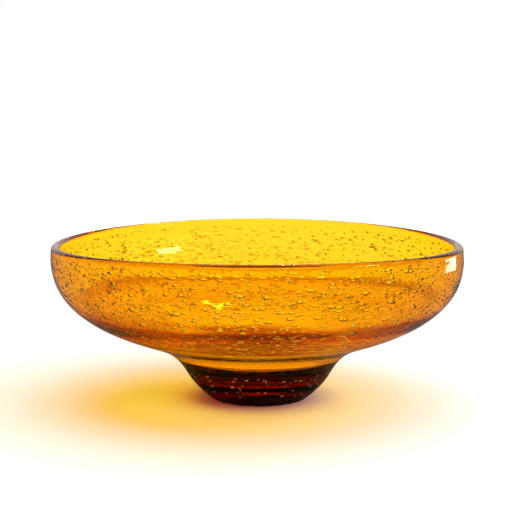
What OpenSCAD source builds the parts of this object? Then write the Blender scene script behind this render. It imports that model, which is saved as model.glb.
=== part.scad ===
// Amber bubble-glass bowl on a solid foot.
//
// A blown bowl is built up from gathers of glass, each laid hot over the last. The first
// gather is blown into the bowl's inside. The second is laid over it, with air bubbles caught
// in it, and becomes the outside. A last lump is joined under the bowl's rounded bottom, and
// shaped and ground flat as the foot. Each gather is a node here, and each band of bubbles is
// a node of air that fills its own cavities in the glass.
//
// Millimetres, +Z up. The origin is the centre of the flat base, on the bowl's axis.

/* [Bowl] */
// Outside diameter at the lip
lip_d = 300; // [290:1:310]
// Height from the base to the top of the lip
bowl_h = 116.5; // [110:0.5:122]
// Thickness of the whole wall at the lip, both gathers together
wall = 6.4; // [5.6:0.1:7]
// How far the shoulder swells out past the lip
shoulder_swell = 0.4; // [0:0.1:1.5]
// Depth of the widest line below the top of the lip
shoulder_drop = 10.5; // [9:0.5:14]
// Radius of the middle of the belly's curve
belly_r = 137.3; // [136.5:0.1:138]
// Height of that place
belly_h = 72.3; // [71.5:0.1:73]
// Radius where the belly's curve turns into the flat cone of the underside
underside_r = 96; // [92:0.5:98]
// Height of that place
underside_h = 47.5; // [46:0.5:49]
// Slope of the underside there, in degrees above level
underside_slope = 20; // [18:1:22]

/* [Inside] */
// Height of the lowest point of the inside
floor_h = 22; // [21:0.5:24]
// Radius where the inside of the upright wall has turned into its sloping bottom
turn_r = 119; // [118:0.5:120.5]
// Height of that place
turn_h = 65.6; // [65:0.1:66.4]
// Thickness of the wall over the underside
underside_wall = 5.8; // [5.4:0.1:6.2]
// Radius where the inside turns down into the well over the foot
well_r = 61; // [60:0.5:62]
// Height of that place
well_h = 37.5; // [37.2:0.1:38.5]
// Outer gather's share of the wall's thickness
outer_share = 0.5; // [0.45:0.01:0.55]

/* [Foot] */
// Radius of the flat ground base
base_r = 33.5; // [31:0.5:35]
// Radius of the round heel above the ground base
heel_r = 37.4; // [36.5:0.1:38.5]
// Height of the heel
heel_h = 1.9; // [1.5:0.1:2.5]
// Radius halfway up the foot's swelling side
flank_r = 54.4; // [53:0.1:55.5]
// Height of that place
flank_h = 21.2; // [20:0.1:22]
// Radius of the ring where the bowl joins the foot
waist_r = 60.5; // [59.5:0.1:61.5]
// Height of that ring
waist_h = 29.4; // [28.8:0.1:30]
// Height of the lowest point of the hollow in the foot that the bowl's bottom sits in
seat_h = 14.5; // [13.5:0.5:15.5]

/* [Bubbles] */
// Radius of the largest bubble in the wall
wall_bubble_r = 1.05; // [0.7:0.05:1.1]
// Radius of the largest bubble in the foot
foot_bubble_r = 1.2; // [0.7:0.05:1.5]
// Bubbles in the upright upper wall
upper_count = 70; // [10:5:120]
// Bubbles in the belly and the underside
belly_count = 90; // [10:5:140]
// Bubbles in the foot
foot_count = 28; // [6:2:40]

/* [Hidden] */
$fn = 180;

// Points along each curved stretch of an outline
steps = 18;
// Points round the quarter of the lip that each gather has
lip_steps = 8;
// Clearance that keeps a bubble's surface apart from its cavity's
skin_gap = 0.02;
// How much thinner the wall is at the shoulder than at the lip
shoulder_thinning = 0.2;
// How many degrees steeper the inside is than the outside over the underside
inside_steeper = 2.5;
// Angle from one bubble to the next, which never lines two of them up
golden = 137.508;
// The smallest bubble's radius as a share of the largest's
smallest_share = 0.55;
// Where the foot's bubbles lie: heights from low to high, and distances from the axis
foot_air_h = [4, 11];
foot_air_r = [8, 32];

lip_r = lip_d / 2;
lip_round = wall / 2;
lip_h = bowl_h - lip_round;
lip_mid = lip_r - lip_round;
lip_top = [lip_mid, bowl_h];

// A station is a place on an outline: [radius, height, heading, reach before, reach after].
// The heading is the outline's direction there, in degrees, going down from the lip, and the
// reaches say how far the outline holds to it before and after.
lip_out = [lip_r, lip_h, -88, 0, 2.5];
shoulder = [lip_r + shoulder_swell, bowl_h - shoulder_drop, -90, 2.5, 12.8];
belly = [belly_r, belly_h, 47.5 - 180, 13.2, 13.2];
underside = [underside_r, underside_h, underside_slope - 180, 20, 17.2];
waist = [waist_r, waist_h, 47 - 180, 12.6, 3.1];
flank = [flank_r, flank_h, 59 - 180, 3.7, 9.5];
heel = [heel_r, heel_h, 40 - 180, 13.2, 2.2];
base_edge = [base_r, 0, 180, 2.2, 0];

lip_in = [lip_r - wall, lip_h, -90, 0, 3];
shoulder_in = [lip_r + shoulder_swell - wall + shoulder_thinning, bowl_h - shoulder_drop, -90, 3, 24];
turn_in = [turn_r, turn_h, 31 - 180, 8, 8];
underside_in = [
    underside_r - underside_wall * sin(underside_slope),
    underside_h + underside_wall * cos(underside_slope),
    underside_slope + inside_steeper - 180, 10, 14];
well_side = [well_r, well_h, 48 - 180, 9, 10];
well_floor = [0, floor_h, 180, 44, 0];

// The bowl's rounded bottom, from the waist to the axis, where it sits in the foot
seat_rim = [waist_r, waist_h, 32 - 180, 0, 14];
seat_floor = [0, seat_h, 180, 38, 0];

function toward(angle) = [cos(angle), sin(angle)];
function place(s) = [s[0], s[1]];
function mix(a, b, share) = a + (b - a) * share;

// The smooth curve from station a to station b, without its last point
function bend(a, b) =
    let (p = place(a), q = p + a[4] * toward(a[2]), s = place(b), r = s - b[3] * toward(b[2]))
    [for (i = [0:steps - 1]) let (t = i / steps, u = 1 - t)
        u * u * u * p + 3 * u * u * t * q + 3 * u * t * t * r + t * t * t * s];

// A chain of curves through a list of stations, with its last point
function run(stations) = concat(
    [for (k = [0:len(stations) - 2]) each bend(stations[k], stations[k + 1])],
    [place(stations[len(stations) - 1])]);

function backwards(points) = [for (i = [len(points) - 1:-1:0]) points[i]];
function tail(points) = [for (i = [1:len(points) - 1]) points[i]];
function lip_arc(from, to) = [for (i = [1:lip_steps])
    [lip_mid, lip_h] + lip_round * toward(mix(from, to, i / lip_steps))];

// Three outlines run from the lip down to the axis, with points that answer each other
bowl_bottom = run([seat_rim, seat_floor]);
skin = concat(run([lip_out, shoulder, belly, underside, waist]), tail(bowl_bottom));
lining = run([lip_in, shoulder_in, turn_in, underside_in, well_side, well_floor]);
seam = [for (i = [0:len(skin) - 1]) mix(skin[i], lining[i], outer_share)];
foot_side = run([waist, flank, heel, base_edge]);

// Where bubble number i lies round the axis, and its size as a share of the largest bubble's
function turn(i, offset) = i * golden + offset;
function bubble_size(i) = mix(smallest_share, 1, pow(sin(i * 73), 2));

// Bubbles spread evenly over the outer gather between two places along its outline, each in
// the middle of the gather's thickness
module wall_air(count, first, last, offset, extra) {
    for (i = [0:count - 1]) {
        at = round(mix(first, last, (i + 0.5) / count));
        middle = mix(skin[at], seam[at], 0.5);
        rotate(turn(i, offset))
            translate([middle[0], 0, middle[1]])
                sphere(r = wall_bubble_r * bubble_size(i) + extra, $fn = 24);
    }
}

// Bubbles through the solid foot, nearer its side than its axis
module foot_air(extra) {
    for (i = [0:foot_count - 1]) {
        out = mix(foot_air_r[0], foot_air_r[1], sqrt((i + 0.5) / foot_count));
        up = mix(foot_air_h[0], foot_air_h[1], (1 + sin(i * 51)) / 2);
        rotate(turn(i, 20))
            translate([out, 0, up])
                sphere(r = foot_bubble_r * bubble_size(i) + extra, $fn = 24);
    }
}

// Places along the skin: two stretches run down the wall, one from the shoulder to the middle
// of the belly, and one from there to the underside's inner part
upper_first = steps + 1;
upper_last = steps * 2;
belly_last = round(steps * 3.7);

module upper_air(extra = 0) wall_air(upper_count, upper_first, upper_last, 0, extra);
module belly_air(extra = 0) wall_air(belly_count, upper_last + 1, belly_last, 61, extra);

// First gather: the bowl's inside, from the lip's inner half down to the well
module inner_gather() {
    color([0.98, 0.72, 0.12])
        rotate_extrude() polygon(concat(lip_arc(90, 180), tail(lining), backwards(tail(seam)), [lip_top]));
}

// Second gather: the bowl's outside, with a cavity round each of its bubbles
module outer_gather() {
    color([0.95, 0.55, 0.06])
        difference() {
            rotate_extrude() polygon(concat(lip_arc(90, 0), tail(skin), backwards(tail(seam)), [lip_top]));
            upper_air(skin_gap);
            belly_air(skin_gap);
        }
}

// Foot: a solid lump, hollowed on top to the bowl's bottom and ground flat underneath
module foot() {
    color([0.42, 0.1, 0.03])
        difference() {
            rotate_extrude() polygon(concat(foot_side, [[0, 0]], backwards(bowl_bottom)));
            foot_air(skin_gap);
        }
}

module upper_bubbles() color([1, 0.93, 0.7]) upper_air();
module belly_bubbles() color([1, 0.85, 0.5]) belly_air();
module foot_bubbles() color([1, 0.75, 0.35]) foot_air(0);

inner_gather();
outer_gather();
foot();
upper_bubbles();
belly_bubbles();
foot_bubbles();
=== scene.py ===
"""Amber bubble-glass bowl on a solid foot: its looks, and the pale studio it stands in.

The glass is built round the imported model. Each gather's outline is read off its CAD node, made
smooth, turned into a fine mesh and given the small unevenness of hand work. The air bubbles are
closed ellipsoids of many sizes, scattered inside the outer gather and the foot.
"""

import math

import bpy
import numpy as np
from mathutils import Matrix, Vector


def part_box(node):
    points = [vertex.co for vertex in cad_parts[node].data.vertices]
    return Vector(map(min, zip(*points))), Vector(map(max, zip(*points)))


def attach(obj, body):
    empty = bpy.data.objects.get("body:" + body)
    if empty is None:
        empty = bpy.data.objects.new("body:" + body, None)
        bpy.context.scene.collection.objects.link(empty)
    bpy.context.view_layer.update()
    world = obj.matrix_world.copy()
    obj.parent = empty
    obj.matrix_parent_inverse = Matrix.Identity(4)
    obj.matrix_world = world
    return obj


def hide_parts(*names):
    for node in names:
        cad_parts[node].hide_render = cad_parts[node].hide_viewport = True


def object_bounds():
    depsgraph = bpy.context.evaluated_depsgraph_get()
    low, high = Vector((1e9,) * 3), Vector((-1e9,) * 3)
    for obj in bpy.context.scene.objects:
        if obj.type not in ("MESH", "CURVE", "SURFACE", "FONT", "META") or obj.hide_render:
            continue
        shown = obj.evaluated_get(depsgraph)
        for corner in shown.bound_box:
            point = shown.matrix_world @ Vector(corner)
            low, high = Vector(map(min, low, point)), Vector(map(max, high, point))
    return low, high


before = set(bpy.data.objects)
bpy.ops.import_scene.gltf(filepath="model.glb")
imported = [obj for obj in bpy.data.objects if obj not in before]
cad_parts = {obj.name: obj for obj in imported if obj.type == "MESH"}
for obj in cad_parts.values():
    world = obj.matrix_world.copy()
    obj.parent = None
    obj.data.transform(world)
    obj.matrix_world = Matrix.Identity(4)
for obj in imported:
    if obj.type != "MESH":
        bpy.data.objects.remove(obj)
cad_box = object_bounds()

MM = 0.001
LOW, HIGH = (np.array(corner) for corner in cad_box)
RADIUS = (HIGH[0] - LOW[0]) / 2
HEIGHT = HIGH[2]

# ---------------------------------------------------------------- the shape of the glass
TURNS = 288            # faces round the bowl
FINER = 3              # pieces that each straight of a CAD outline is curved into
CORNER = 25            # an outline turns by more degrees than this only at a true corner
LAP = 0.02 * MM        # how far fused gathers reach into each other, so that no gap shows
SADDLE = 1.6 * MM      # the lip is high at front and back by this, and low at its sides
LEAN = -1.8 * MM       # the lip's centre lies this far along X from the foot's
GROUND_H = 0.3 * MM    # glass lower than this belongs to the ground base
CALM = 6 * MM          # how far from a corner, a seam or the base turning ripples reach full height

# Turning ripples: (height, waves round the bowl, wavelength up the wall, phase)
SKIN_RIPPLES = [
    (0.03 * MM, 2, 31 * MM, 0.4), (0.015 * MM, -3, 17 * MM, 2.1), (0.03 * MM, 3, 240 * MM, 1.0)]
LINING_RIPPLES = [
    (0.04 * MM, 1, 23 * MM, 1.7), (0.02 * MM, -2, 13 * MM, 0.2), (0.04 * MM, 2, 190 * MM, 4.0)]


def outline(node):
    """A CAD node's outline as rows of (radius, height), read along the meridian that its faces
    start from, from its lower end on the axis to its upper one."""
    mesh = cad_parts[node].data
    places = np.zeros(len(mesh.vertices) * 3)
    mesh.vertices.foreach_get("co", places)
    places = places.reshape(-1, 3)
    ends = np.zeros(len(mesh.edges) * 2, int)
    mesh.edges.foreach_get("vertices", ends)
    ends = ends.reshape(-1, 2)
    on_meridian = (abs(places[:, 1]) < 1e-6) & (places[:, 0] > -1e-6)
    joined = {}
    for a, b in ends[on_meridian[ends].all(axis=1)]:
        one, other = (tuple(places[k, ::2].round(7)) for k in (a, b))
        if one != other:
            joined.setdefault(one, set()).add(other)
            joined.setdefault(other, set()).add(one)
    # a flat face across the axis has no point there, so its rim is an end too
    path = [min(joined, key=lambda p: (len(joined[p]) > 1, p[1]))]
    while onward := joined[path[-1]] - set(path[-2:]):
        path.append(onward.pop())
    path = np.array(path)
    low, high = ([(0, end[1])] if end[0] > 1e-6 else [] for end in path[[0, -1]])
    return np.array([*low, *path, *high])


def shared(points, others):
    """Which of these outline points are points of the other outline too. Two nodes that touch may
    be split at different places along their seam, and points that only one has aren't counted."""
    apart = np.linalg.norm(points[:, None] - others[None], axis=2)
    return apart.min(axis=1) < 2e-6


def corners(points):
    """Which points of an outline are true corners or its ends."""
    steps = np.diff(points, axis=0)
    headings = np.arctan2(steps[:, 1], steps[:, 0])
    turns = np.abs((np.diff(headings) + math.pi) % (2 * math.pi) - math.pi)
    return np.concatenate([[True], turns > math.radians(CORNER), [True]])


def smoothed(points, sharp, straight):
    """The outline with FINER points for one, on a smooth curve between its corners. straight
    says which stretches keep one piece. Returns the points, and the old number of each."""
    steps = np.diff(points, axis=0)
    lengths = np.linalg.norm(steps, axis=1)[:, None]
    headings = steps / lengths
    # the heading at each point between two straights leans to the shorter one's
    before, after = lengths[:-1], lengths[1:]
    passing = (headings[:-1] * after + headings[1:] * before) / (after + before)
    passing = np.concatenate([headings[:1], passing, headings[-1:]])
    new, number = [], []
    for k, (a, b, length) in enumerate(zip(points, points[1:], lengths)):
        leaving = headings[k] if sharp[k] else passing[k]
        arriving = headings[k] if sharp[k + 1] else passing[k + 1]
        count = 1 if straight[k] else FINER
        for t in np.arange(count) / count:
            u = 1 - t
            new.append(u * u * (1 + 2 * t) * a + t * t * (3 - 2 * t) * b
                       + t * u * length * (u * leaving - t * arriving))
            number.append(k)
    return np.array(new + [points[-1]]), np.array(number + [len(points) - 1])


def hand_made(points):
    """Points of the true bowl, moved to where the slightly uneven one has them."""
    x, y, z = points.T
    up = z / HEIGHT
    out = (x * x + y * y) / RADIUS**2
    saddle = -SADDLE * up * out * np.cos(2 * np.arctan2(y, x))
    return np.stack([x + LEAN * up, y, z + saddle], axis=1)


def rippled(along, angles, ripples):
    """How far turning ripples raise a surface, by the distance along it and the angle round it."""
    return sum(
        height * np.sin(waves * angles[None] + 2 * math.pi * along[:, None] / length + phase)
        for height, waves, length, phase in ripples)


def new_object(name, mesh, material):
    mesh.polygons.foreach_set("use_smooth", np.ones(len(mesh.polygons), bool))
    mesh.materials.append(material)
    piece = bpy.data.objects.new(name, mesh)
    bpy.context.scene.collection.objects.link(piece)
    return piece


def turned(name, points, sharp, on_seam, ripples, material):
    """A closed solid of revolution. points run from the axis to the axis, sharp marks corners,
    and on_seam marks the points that lie against another gather."""
    angles = np.arange(TURNS) * 2 * math.pi / TURNS
    along = np.concatenate([[0], np.cumsum(np.linalg.norm(np.diff(points, axis=0), axis=1))])
    heading = np.gradient(points, axis=0)
    heading /= np.linalg.norm(heading, axis=1)[:, None]
    outward = np.stack([heading[:, 1], -heading[:, 0]], axis=1)
    # ripples fade out towards corners, seams and the ground base
    still = on_seam | sharp | (points[:, 1] < GROUND_H)
    quiet = np.abs(along[:, None] - along[still][None]).min(axis=1)
    fade = np.clip(quiet / CALM, 0, 1) ** 2
    raised = rippled(along, angles, ripples) * fade[:, None]
    radius = points[:, 0:1] + outward[:, 0:1] * raised
    height = points[:, 1:2] + outward[:, 1:2] * raised
    rings = np.stack([radius * np.cos(angles), radius * np.sin(angles), height], axis=-1)
    vertices = np.concatenate([rings[0, :1], rings[1:-1].reshape(-1, 3), rings[-1, :1]])
    ring = np.arange(TURNS)
    following = (ring + 1) % TURNS
    last = len(vertices) - 1
    faces = []
    count = len(points) - 2
    for k in range(count - 1):
        a, b = 1 + k * TURNS, 1 + (k + 1) * TURNS
        faces += np.stack([a + ring, a + following, b + following, b + ring], axis=1).tolist()
    top = 1 + (count - 1) * TURNS
    faces += [(0, 1 + j, 1 + i) for i, j in zip(ring, following)]
    faces += [(last, top + i, top + j) for i, j in zip(ring, following)]
    mesh = bpy.data.meshes.new(name)
    mesh.from_pydata(hand_made(vertices), [], faces)
    # corners keep a crisp normal, and each face knows whether it is a seam or the ground base
    edge_ends = np.zeros(len(mesh.edges) * 2, int)
    mesh.edges.foreach_get("vertices", edge_ends)
    edge_rings = (edge_ends.reshape(-1, 2) - 1) // TURNS + 1
    crisp = (edge_rings[:, 0] == edge_rings[:, 1]) & sharp[np.clip(edge_rings[:, 0], 0, count)]
    mesh.attributes.new("sharp_edge", "BOOLEAN", "EDGE").data.foreach_set("value", crisp)
    seam_stretch = on_seam[:-1] & on_seam[1:]
    low_stretch = (points[:-1, 1] < GROUND_H) & (points[1:, 1] < GROUND_H)
    stretch = np.concatenate([np.repeat(np.arange(1, count), TURNS),
                              np.zeros(TURNS, int), np.full(TURNS, count)])
    for attribute, marked in (("seam", seam_stretch), ("ground", low_stretch)):
        values = marked[stretch].astype(np.float32)
        mesh.attributes.new(attribute, "FLOAT", "FACE").data.foreach_set("value", values)
    # where a point lies round and along the glass, for patterns that follow its turning
    around = np.tile(np.stack([np.cos(angles), np.sin(angles)], axis=1), (count, 1))
    lengths = np.repeat(along[1:-1], TURNS)[:, None]
    swirl = np.concatenate([[[1, 0, along[0]]], np.hstack([around, lengths]), [[1, 0, along[-1]]]])
    swirl = swirl.astype(np.float32).ravel()
    mesh.attributes.new("swirl", "FLOAT_VECTOR", "POINT").data.foreach_set("vector", swirl)
    return new_object(name, mesh, material)


def gather(name, node, neighbours, ripples, material, lap):
    """The glass that stands for one CAD node. lap moves its seams along +Z and outwards."""
    points = outline(node)
    on_seam = np.any([shared(points, outline(other)) for other in neighbours], axis=0)
    seam_ends = on_seam & (np.roll(~on_seam, 1) | np.roll(~on_seam, -1)) & (points[:, 0] > MM)
    sharp = corners(points) | seam_ends
    inner = on_seam & ~seam_ends
    points = points + np.where(inner[:, None], [lap, -lap], 0.0)
    points[[0, -1], 0] = 0
    straight = on_seam[:-1] & on_seam[1:]
    points, number = smoothed(points, sharp, straight)
    # of the points that stand for an old one, only the first is its corner
    first = np.concatenate([[True], np.diff(number) > 0])
    seam_stretch = straight[np.clip(number, 0, len(straight) - 1)]
    sharp, on_seam = sharp[number] & first, on_seam[number] & (first | seam_stretch)
    return turned(name, points, sharp, on_seam, ripples, material)


# ---------------------------------------------------------------- materials
GLASS_IOR = 1.5
AMBER_TINT = (1, 0.75, 0.2, 1)    # colour of what the glass mirrors head on
GROUND_ROUGHNESS = 0.3            # of the ground base
# What each metre of glass takes off red, green and blue light, as in exp(-a x)
AMBER_ABSORBS = (4, 61, 600)
FOOT_ABSORBS = (74, 200, 600)
DENSITY = 900                     # above the strongest absorption, which the colour then scales
CORDS_ROUND, CORDS_ALONG = 2, 160  # how fast cords change round the bowl and along its wall
CORDS_STRENGTH, CORDS_HEIGHT = 0.5, 0.15 * MM
# How the outer gather is tinted, darkest in a ring round the belly: (height, colour)
CASING_TINTS = [
    (30 * MM, (1, 0.9, 0.75, 1)),
    (52.2 * MM, (1, 0.88, 0.75, 1)),
    (53.2 * MM, (0.8, 0.45, 0.5, 1)),
    (54.2 * MM, (1, 0.88, 0.75, 1)),
    (63.5 * MM, (1, 0.82, 0.7, 1)),
    (66 * MM, (0.85, 0.55, 0.5, 1)),
    (68 * MM, (0.66, 0.4, 0.4, 1)),
    (71 * MM, (0.62, 0.38, 0.4, 1)),
    (72.5 * MM, (0.9, 0.75, 0.8, 1)),
    (75 * MM, (1, 1, 1, 1))]
TINT_WANDERS = 2.5 * MM           # how far cords pull a tint up and down


def link(tree, source, target):
    tree.links.new(source, target)


def new_material(name):
    material = bpy.data.materials.new(name)
    material.use_nodes = True
    nodes = material.node_tree.nodes
    return material, material.node_tree, nodes, nodes["Principled BSDF"]


def glass(name, absorbs, tints=()):
    """Clear glass with faint cords that follow its turning, crisp except on the ground base, and
    with no surface at all where it is fused to other glass. tints are colours by height."""
    material, tree, nodes, shader = new_material(name)
    shader.inputs["Base Color"].default_value = (1, 1, 1, 1)
    shader.inputs["Transmission Weight"].default_value = 1
    shader.inputs["Specular Tint"].default_value = AMBER_TINT
    volume = nodes.new("ShaderNodeVolumeAbsorption")
    volume.inputs["Color"].default_value = (*(1 - a / DENSITY for a in absorbs), 1)
    volume.inputs["Density"].default_value = DENSITY
    link(tree, volume.outputs[0], nodes["Material Output"].inputs["Volume"])
    for attribute, socket, low, high in (
            ("seam", "IOR", GLASS_IOR, 1), ("ground", "Roughness", 0, GROUND_ROUGHNESS)):
        read = nodes.new("ShaderNodeAttribute")
        read.attribute_name = attribute
        spread = nodes.new("ShaderNodeMapRange")
        spread.inputs["To Min"].default_value = low
        spread.inputs["To Max"].default_value = high
        link(tree, read.outputs["Fac"], spread.inputs["Value"])
        link(tree, spread.outputs["Result"], shader.inputs[socket])
    swirl = nodes.new("ShaderNodeAttribute")
    swirl.attribute_name = "swirl"
    stretch = nodes.new("ShaderNodeVectorMath")
    stretch.operation = "MULTIPLY"
    stretch.inputs[1].default_value = (CORDS_ROUND, CORDS_ROUND, CORDS_ALONG)
    cords = nodes.new("ShaderNodeTexNoise")
    cords.inputs["Scale"].default_value = 1
    cords.inputs["Detail"].default_value = 3
    bump = nodes.new("ShaderNodeBump")
    bump.inputs["Strength"].default_value = CORDS_STRENGTH
    bump.inputs["Distance"].default_value = CORDS_HEIGHT
    link(tree, swirl.outputs["Vector"], stretch.inputs[0])
    link(tree, stretch.outputs["Vector"], cords.inputs["Vector"])
    link(tree, cords.outputs["Fac"], bump.inputs["Height"])
    link(tree, bump.outputs["Normal"], shader.inputs["Normal"])
    if tints:
        tinted(tree, nodes, shader, cords, tints)
    return material


def tinted(tree, nodes, shader, cords, tints):
    """Colours the glass by its height, along lines that wander as its cords do."""
    place = nodes.new("ShaderNodeTexCoord")
    split = nodes.new("ShaderNodeSeparateXYZ")
    wander = nodes.new("ShaderNodeMath")
    wander.operation = "MULTIPLY_ADD"
    wander.inputs[1].default_value = TINT_WANDERS
    share = nodes.new("ShaderNodeMapRange")
    share.inputs["From Min"].default_value = TINT_WANDERS / 2
    share.inputs["From Max"].default_value = HEIGHT + TINT_WANDERS / 2
    ramp = nodes.new("ShaderNodeValToRGB")
    stops = ramp.color_ramp.elements
    stops[0].position, stops[0].color = tints[0][0] / HEIGHT, tints[0][1]
    stops[1].position, stops[1].color = tints[-1][0] / HEIGHT, tints[-1][1]
    for height, colour in tints[1:-1]:
        stops.new(height / HEIGHT).color = colour
    link(tree, place.outputs["Object"], split.inputs[0])
    link(tree, cords.outputs["Fac"], wander.inputs[0])
    link(tree, split.outputs["Z"], wander.inputs[2])
    link(tree, wander.outputs[0], share.inputs["Value"])
    link(tree, share.outputs["Result"], ramp.inputs["Fac"])
    link(tree, ramp.outputs["Color"], shader.inputs["Base Color"])


def bright(name):
    """The skin of an air bubble in the dark foot, which throws light back as rough pale gold
    does. Clear air so small would hardly show there."""
    material, _, _, shader = new_material(name)
    shader.inputs["Base Color"].default_value = (1, 0.85, 0.6, 1)
    shader.inputs["Metallic"].default_value = 1
    shader.inputs["Roughness"].default_value = 0.6
    return material


def air(name):
    """The skin of an air bubble: the glass outside it is the denser side."""
    material, _, _, shader = new_material(name)
    shader.inputs["Base Color"].default_value = (1, 1, 1, 1)
    shader.inputs["Roughness"].default_value = 0
    shader.inputs["IOR"].default_value = 1 / GLASS_IOR
    shader.inputs["Transmission Weight"].default_value = 1
    return material


amber = glass("amber", AMBER_ABSORBS)
casing_amber = glass("casing_amber", AMBER_ABSORBS, CASING_TINTS)
dark_amber = glass("dark_amber", FOOT_ABSORBS)
trapped_air = air("trapped_air")
bright_air = bright("bright_air")

lining = gather(
    "lining_glass", "inner_gather", ["outer_gather"], LINING_RIPPLES, amber, LAP)
casing = gather(
    "casing_glass", "outer_gather", ["inner_gather", "foot"], SKIN_RIPPLES, casing_amber, 0)
foot = gather(
    "foot_glass", "foot", ["outer_gather"], SKIN_RIPPLES, dark_amber, -LAP)

# ---------------------------------------------------------------- air bubbles
BUBBLE_ROUND, BUBBLE_UP = 10, 6   # faces round each bubble, and from its one end to the other
LIP_CLEAR = 5 * MM                # glass above the wall's bubbles
NECK_H = 40 * MM                  # height that they stay above
SEED_COUNT = 1900                 # bubbles in each piece of the wall's
SEED_MEDIANS = {"seeds": 0.85 * MM, "fine_seeds": 0.6 * MM}
SEED_SPREAD = 0.4                 # how much their sizes vary, as a deviation of the logarithm
SEED_SIZES = (0.15 * MM, 1.8 * MM)
SEED_LONG = (1.2, 2.2)            # their half-axes round the bowl, as shares of their size
SEED_TALL = (0.38, 0.65)          # and up the wall
SEED_DEEP = 0.36                  # the most that a half-axis into the wall has of its thickness
SEED_PLACES = (0.42, 0.58)        # how far through the outer gather their middles lie
FOOT_SEED_COUNT = 180
FOOT_SEED_MEDIAN, FOOT_SEED_SPREAD = 0.55 * MM, 0.45
FOOT_SEED_SIZES = (0.25 * MM, 1 * MM)
FOOT_SEED_SHAPE = (0.9, 1.4, 0.8)  # half-axes outwards, round the foot and up, for a size of 1
FOOT_SEED_HEIGHTS = (7 * MM, 25 * MM)
FOOT_SEED_CLEAR = 1.4             # least depth of their middles, for a size of 1
FOOT_SEED_COVER = (0.3 * MM, 2 * MM)  # what lies over that
FOOT_SIDE_R = 30 * MM             # the foot's side lies further out than this


def unit_ball():
    """Vertices and faces of a ball of radius 1."""
    tilts = np.arange(1, BUBBLE_UP) * math.pi / BUBBLE_UP
    spins = np.arange(BUBBLE_ROUND) * 2 * math.pi / BUBBLE_ROUND
    rings = [(math.sin(t) * math.cos(s), math.sin(t) * math.sin(s), math.cos(t))
             for t in tilts for s in spins]
    vertices = np.array([(0, 0, 1), *rings, (0, 0, -1)])
    last = len(vertices) - 1
    faces = []
    for i in range(BUBBLE_ROUND):
        j = (i + 1) % BUBBLE_ROUND
        faces.append((0, 1 + i, 1 + j))
        faces.append((last, last - BUBBLE_ROUND + j, last - BUBBLE_ROUND + i))
        for k in range(BUBBLE_UP - 2):
            a = 1 + k * BUBBLE_ROUND
            b = a + BUBBLE_ROUND
            faces.append((a + i, b + i, b + j, a + j))
    return vertices, np.array([(*f, -1) if len(f) == 3 else f for f in faces])


def bubbles(name, centres, axes, material):
    """Ellipsoids as one object. axes holds each one's three half-axes as rows, right-handed."""
    ball, ball_faces = unit_ball()
    vertices = centres[:, None] + np.einsum("vk,nkj->nvj", ball, axes)
    starts = np.arange(len(centres)) * len(ball)
    faces = [tuple(start + f[f >= 0]) for start in starts for f in ball_faces]
    mesh = bpy.data.meshes.new(name)
    mesh.from_pydata(hand_made(vertices.reshape(-1, 3)), [], faces)
    return new_object(name, mesh, material)


def in_the_round(angles, flat):
    """(radius, height) rows as points or directions at these angles round the axis."""
    return np.stack([flat[:, 0] * np.cos(angles), flat[:, 0] * np.sin(angles), flat[:, 1]], axis=1)


def tangents(angles):
    """Directions round the axis at these angles."""
    return np.stack([-np.sin(angles), np.cos(angles), 0 * angles], axis=1)


def along_line(line, at):
    """Points of a line of (radius, height) rows, at row numbers that may have fractions."""
    rows = np.arange(len(line))
    return np.stack([np.interp(at, rows, line[:, k]) for k in (0, 1)], axis=1)


def wall_bubbles(name, rng, skin, seam, median):
    """Flattened bubbles in the outer gather, drawn out round the bowl as the glass was turned.
    skin and seam are its two faces as matching points, and median is the bubbles' usual size."""
    count = SEED_COUNT
    steps = np.linalg.norm(np.diff(skin, axis=0), axis=1)
    share = np.concatenate([[0], np.cumsum(steps * (skin[1:, 0] + skin[:-1, 0]))])
    at = np.interp(rng.random(count), share / share[-1], np.arange(len(skin)))
    outer, inner = along_line(skin, at), along_line(seam, at)
    through = inner - outer
    thick = np.linalg.norm(through, axis=1)[:, None]
    through /= thick
    upward = np.stack([through[:, 1], -through[:, 0]], axis=1)
    size = np.clip(rng.lognormal(math.log(median), SEED_SPREAD, (count, 1)), *SEED_SIZES)
    angle = rng.uniform(0, 2 * math.pi, count)
    long = size * rng.uniform(*SEED_LONG, (count, 1))
    tall = size * rng.uniform(*SEED_TALL, (count, 1))
    deep = np.minimum(tall, SEED_DEEP * thick)
    middle = outer + through * thick * rng.uniform(*SEED_PLACES, (count, 1))
    axes = np.stack([tangents(angle) * long, in_the_round(angle, upward) * tall,
                     in_the_round(angle, through) * deep], axis=1)
    flipped = np.linalg.det(axes) < 0
    axes[flipped, 2] *= -1
    return bubbles(name, in_the_round(angle, middle), axes, trapped_air)


def wall_faces():
    """The outer gather's skin from the waist to the lip, and the nearest points of its seam."""
    points = outline("outer_gather")
    on_inner = shared(points, outline("inner_gather"))
    on_foot = shared(points, outline("foot"))
    skin = points[~on_inner & ~on_foot]
    seam = points[on_inner]
    nearest = np.linalg.norm(skin[:, None] - seam[None], axis=2).argmin(axis=1)
    return skin, seam[nearest]


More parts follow.
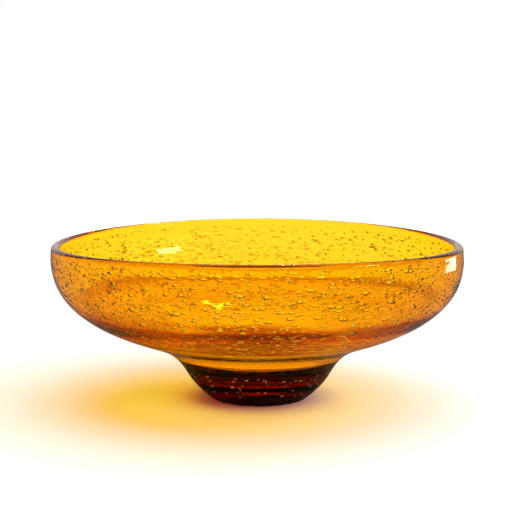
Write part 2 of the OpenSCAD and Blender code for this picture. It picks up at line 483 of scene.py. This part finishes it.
def foot_bubbles(name, rng):
    """Small bubbles close under the foot's side. A few lie along the hollow on its top instead,
    at points there that shared() doesn't count."""
    count = FOOT_SEED_COUNT
    side = outline("foot")
    low, high = FOOT_SEED_HEIGHTS
    side = side[~shared(side, outline("outer_gather")) & (side[:, 0] > FOOT_SIDE_R)
                & (side[:, 1] > low) & (side[:, 1] < high)]
    edge = along_line(side, rng.random(count) * (len(side) - 1))
    angle = rng.uniform(0, 2 * math.pi, count)
    size = rng.lognormal(math.log(FOOT_SEED_MEDIAN), FOOT_SEED_SPREAD, count)
    size = np.clip(size, *FOOT_SEED_SIZES)
    depth = FOOT_SEED_CLEAR * size + rng.uniform(*FOOT_SEED_COVER, count)
    middle = edge - np.stack([depth, 0 * depth], axis=1)
    outwards = np.stack([np.cos(angle), np.sin(angle), 0 * angle], axis=1)
    upwards = np.tile([0, 0, 1], (count, 1))
    axes = np.stack([outwards, tangents(angle), upwards], axis=1)
    axes = axes * size[:, None, None] * np.array(FOOT_SEED_SHAPE)[None, :, None]
    return bubbles(name, in_the_round(angle, middle), axes, bright_air)


skin, seam = wall_faces()
belly_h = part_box("belly_bubbles")[1].z
upper = (skin[:, 1] < HEIGHT - LIP_CLEAR) & (skin[:, 1] > belly_h)
belly = (skin[:, 1] > NECK_H) & (skin[:, 1] < belly_h)
rng = np.random.default_rng(11)
wall_seeds = [
    (wall_bubbles(f"{band}_{sort}", rng, skin[part], seam[part], median),
     f"{band}_bubbles", "trapped_air")
    for band, part in (("upper", upper), ("belly", belly))
    for sort, median in SEED_MEDIANS.items()]
foot_seeds = foot_bubbles("foot_seeds", rng)

for piece, node, slot in (
        (lining, "inner_gather", "amber_glass"),
        (casing, "outer_gather", "amber_glass"),
        (foot, "foot", "foot_glass"),
        *wall_seeds,
        (foot_seeds, "foot_bubbles", "trapped_air")):
    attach(piece, "root")
    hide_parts(node)

# ---------------------------------------------------------------- the studio
FLOOR_R = 40           # metres
FLOOR_EDGES = 128      # the floor is a polygon of so many sides
FLOOR_Z = -0.1 * MM    # just under the glass, so that the two don't coincide
FLOOR_COLOUR = (0.93, 0.93, 0.93, 1)
FLOOR_MIRRORED = 0.15  # share of the floor's colour that reflections keep, as behind a polarizer
FLOOR_THROUGH = 0.93   # share of it that is seen through the glass
WALLS = 1              # brightness of the white walls
CEILING = 0.1          # brightness of the ceiling
CEILING_COLOUR = (1, 0.42, 0.16, 1)
CEILING_EDGE = (0.35, 0.65)   # heights of a direction between which the walls become the ceiling
WALLS_LIGHT = 0.05     # brightness of the walls as the floor sees them
CEILING_LIGHT = 0.2    # brightness of the ceiling as the floor sees it
MIRRORED = 0.7         # brightness in reflections of what lies beyond the bowl
MIRRORED_DIM = 0.06    # brightness in reflections of the camera's side
MIRROR_EDGE = (0.6, 0.95)     # how far along +Y a direction points between which those meet
LOOKS_DOWN = 7.283     # degrees that the camera looks down


def pale_floor():
    material, tree, nodes, shader = new_material("pale_floor")
    path = nodes.new("ShaderNodeLightPath")
    socket = shader.inputs["Base Color"]
    for rays, share in (
            ("Is Reflection Ray", FLOOR_MIRRORED), ("Is Transmission Ray", FLOOR_THROUGH)):
        colour = nodes.new("ShaderNodeMix")
        colour.data_type = "RGBA"
        colour.inputs["A"].default_value = FLOOR_COLOUR
        colour.inputs["B"].default_value = (*(c * share for c in FLOOR_COLOUR[:3]), 1)
        link(tree, path.outputs[rays], colour.inputs["Factor"])
        link(tree, colour.outputs["Result"], socket)
        socket = colour.inputs["A"]
    shader.inputs["Roughness"].default_value = 1
    shader.inputs["Specular IOR Level"].default_value = 0
    angles = np.arange(FLOOR_EDGES) * 2 * math.pi / FLOOR_EDGES
    rim = in_the_round(angles, np.tile([FLOOR_R, FLOOR_Z], (FLOOR_EDGES, 1)))
    mesh = bpy.data.meshes.new("floor")
    mesh.from_pydata(rim, [], [list(range(len(rim)))])
    return new_object("floor", mesh, material)


def studio():
    """White walls all round and a dim warm ceiling. The glass shows both at full brightness when
    one looks through it. The floor gets little light from the walls, because they stand far off,
    and the side that the camera stands on is dim in reflections."""
    world = bpy.data.worlds.new("studio")
    bpy.context.scene.world = world
    world.use_nodes = True
    tree = world.node_tree
    nodes = tree.nodes
    direction = nodes.new("ShaderNodeTexCoord")
    split = nodes.new("ShaderNodeSeparateXYZ")
    path = nodes.new("ShaderNodeLightPath")
    link(tree, direction.outputs["Generated"], split.inputs[0])

    def fade(source, start, end, low, high):
        """low where source is under start, high where it is over end, and smooth between."""
        node = nodes.new("ShaderNodeMapRange")
        node.interpolation_type = "SMOOTHSTEP"
        for socket, value in (
                ("From Min", start), ("From Max", end), ("To Min", low), ("To Max", high)):
            node.inputs[socket].default_value = value
        link(tree, source, node.inputs["Value"])
        return node.outputs["Result"]

    def choose(switch, usual, special):
        """special for the rays that switch picks, and usual for all others."""
        node = nodes.new("ShaderNodeMix")
        link(tree, path.outputs[switch], node.inputs["Factor"])
        link(tree, usual, node.inputs["A"])
        link(tree, special, node.inputs["B"])
        return node.outputs["Result"]

    seen = fade(split.outputs["Z"], *CEILING_EDGE, WALLS, CEILING)
    lighting = fade(split.outputs["Z"], *CEILING_EDGE, WALLS_LIGHT, CEILING_LIGHT)
    mirrored = fade(split.outputs["Y"], *MIRROR_EDGE, MIRRORED_DIM, MIRRORED)
    strength = choose("Is Diffuse Ray", choose("Is Reflection Ray", seen, mirrored), lighting)
    colour = nodes.new("ShaderNodeMix")
    colour.data_type = "RGBA"
    colour.inputs["A"].default_value = (1, 1, 1, 1)
    colour.inputs["B"].default_value = CEILING_COLOUR
    link(tree, fade(split.outputs["Z"], *CEILING_EDGE, 0, 1), colour.inputs["Factor"])
    link(tree, colour.outputs["Result"], nodes["Background"].inputs["Color"])
    link(tree, strength, nodes["Background"].inputs["Strength"])


def hang(name, light, place):
    """Puts a light here, turned to shine on the bowl's middle."""
    lamp = bpy.data.objects.new(name, light)
    lamp.location = place
    aim = Vector(place) - Vector((0, 0, HEIGHT / 2))
    lamp.rotation_euler = aim.to_track_quat("Z", "Y").to_euler()
    bpy.context.scene.collection.objects.link(lamp)
    return lamp


def sun(name, place, softness, strength):
    """A distant light, as wide as softness in degrees, that leaves no image of itself."""
    light = bpy.data.lights.new(name, "SUN")
    light.angle = math.radians(softness)
    light.energy = strength
    hang(name, light, place).visible_glossy = False


def softbox(name, place, width, height, power):
    """A rectangular light that shows as a highlight and adds no other light."""
    light = bpy.data.lights.new(name, "AREA")
    light.shape = "RECTANGLE"
    light.size, light.size_y = width, height
    light.energy = power
    lamp = hang(name, light, place)
    lamp.visible_diffuse = lamp.visible_transmission = False


def camera():
    """The photograph's viewpoint: a long lens that looks down a little."""
    data = bpy.data.cameras.new("camera")
    data.sensor_width = 36
    data.lens = 93.7
    data.clip_end = 200
    eye = bpy.data.objects.new("camera", data)
    eye.location = (-2.5 * MM, -0.9722, 0.229)
    eye.rotation_euler = (math.radians(90 - LOOKS_DOWN), 0, 0)
    bpy.context.scene.collection.objects.link(eye)
    bpy.context.scene.camera = eye


pale_floor()
studio()
sun("key", (0.3, 0.2, 1), softness=90, strength=3.7)
sun("fill", (1, -0.5, 0.45), softness=50, strength=1.2)
softbox("window", (0.5, 0.26, 0.05), width=0.15, height=0.05, power=0.1)
softbox("side_window", (1.73, -0.92, 1.05), width=0.6, height=0.3, power=16)
softbox("skylight", (0.15, 1.3, 1.45), width=0.1, height=0.09, power=1.8)
camera()
scene = bpy.context.scene
scene.view_settings.view_transform = "Standard"
scene.cycles.max_bounces = 24
scene.cycles.transmission_bounces = 24
scene.cycles.blur_glossy = 0
